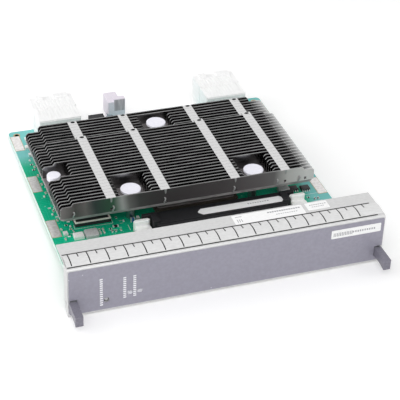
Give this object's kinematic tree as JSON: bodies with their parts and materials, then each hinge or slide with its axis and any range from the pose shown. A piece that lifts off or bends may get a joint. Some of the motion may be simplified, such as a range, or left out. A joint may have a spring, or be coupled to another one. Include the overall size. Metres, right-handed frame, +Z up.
{
  "type": "interface module",
  "caption": "Plug-in router card: folded front with coloured skin and pull handles, circuit board, stepped fin heatsink, memory socket and white backplane connectors",
  "frame": {"origin": "middle of the whole outline at the underside of the folded front", "axes": "+X to the right along the front, +Y back to the backplane connectors, +Z up from the board"},
  "size_m": [0.168, 0.1894, 0.0301],
  "materials": {
    "pan_steel": "satin tin-plated sheet",
    "face_coat": "satin purple-grey coating",
    "finger_metal": "satin spring sheet",
    "screw_steel": "plain",
    "board": "green solder mask",
    "plating": "tin plated",
    "sink_metal": "dark nickel plated",
    "sink_base": "nickel plated",
    "cap_white": "moulded white",
    "carrier": "laminate",
    "chip_black": "moulded black",
    "lid_metal": "nickel plated",
    "pad_grey": "soft pad",
    "rim_metal": "bright",
    "socket_black": "moulded black",
    "module_green": "green solder mask",
    "ivory": "moulded ivory",
    "connector_white": "moulded white",
    "cast_grey": "die cast",
    "gold": "gold flash",
    "choke_grey": "moulded grey",
    "ceramic_white": "ceramic",
    "ceramic_tan": "ceramic",
    "clear": "clear moulding",
    "button_grey": "moulded light grey"
  },
  "bodies": {
    "card": {"faceplate_pan": "pan_steel", "face_skin": "face_coat", "finger_strip": "finger_metal", "pull_handle_left": "face_coat", "pull_handle_right": "face_coat", "handle_screws": "screw_steel", "switch_body": "chip_black", "light_guides": "clear", "main_board": "board", "ground_pads": "plating", "board_spacers": "screw_steel", "board_screws": "screw_steel", "heatsink_base": "sink_base", "front_fin_bank": "sink_metal", "rear_fin_bank": "sink_metal", "heatsink_screws": "screw_steel", "screw_springs": "screw_steel", "screw_caps": "cap_white", "screw_posts": "screw_steel", "processor_carrier": "carrier", "processor_lid": "lid_metal", "thermal_pad": "pad_grey", "bridge_chip": "chip_black", "bridge_rim": "rim_metal", "memory_socket": "socket_black", "memory_board": "module_green", "memory_chips": "chip_black", "latch_pins": "screw_steel", "connector_shell_left": "connector_white", "connector_shell_right": "connector_white", "connector_wafers_left": "connector_white", "connector_wafers_right": "connector_white", "guide_block": "cast_grey", "rear_header": "socket_black", "header_pins": "gold", "power_chokes": "choke_grey", "filter_block": "ceramic_white", "outline_chips": "chip_black", "chip_leads": "plating", "ceramic_capacitors": "ceramic_tan"},
    "button": {"button_plunger": "button_grey"},
    "latch_left": {"memory_latch_left": "ivory"},
    "latch_right": {"memory_latch_right": "ivory"}
  },
  "joints": [
    {"name": "button_press", "type": "slide", "parent": "card", "child": "button", "axis": [0, 1, 0], "range_m": [0, 0.0004], "stiffness_N_per_m": 600, "springref_m": -0.0005},
    {"name": "latch_left_swing", "type": "hinge", "parent": "card", "child": "latch_left", "pos_m": [-0.031, -0.0328, 0.009], "axis": [0, 0, -1], "range_deg": [0, 14]},
    {"name": "latch_right_swing", "type": "hinge", "parent": "card", "child": "latch_right", "pos_m": [0.057, -0.0328, 0.009], "axis": [0, 0, 1], "range_deg": [0, 14]}
  ]
}
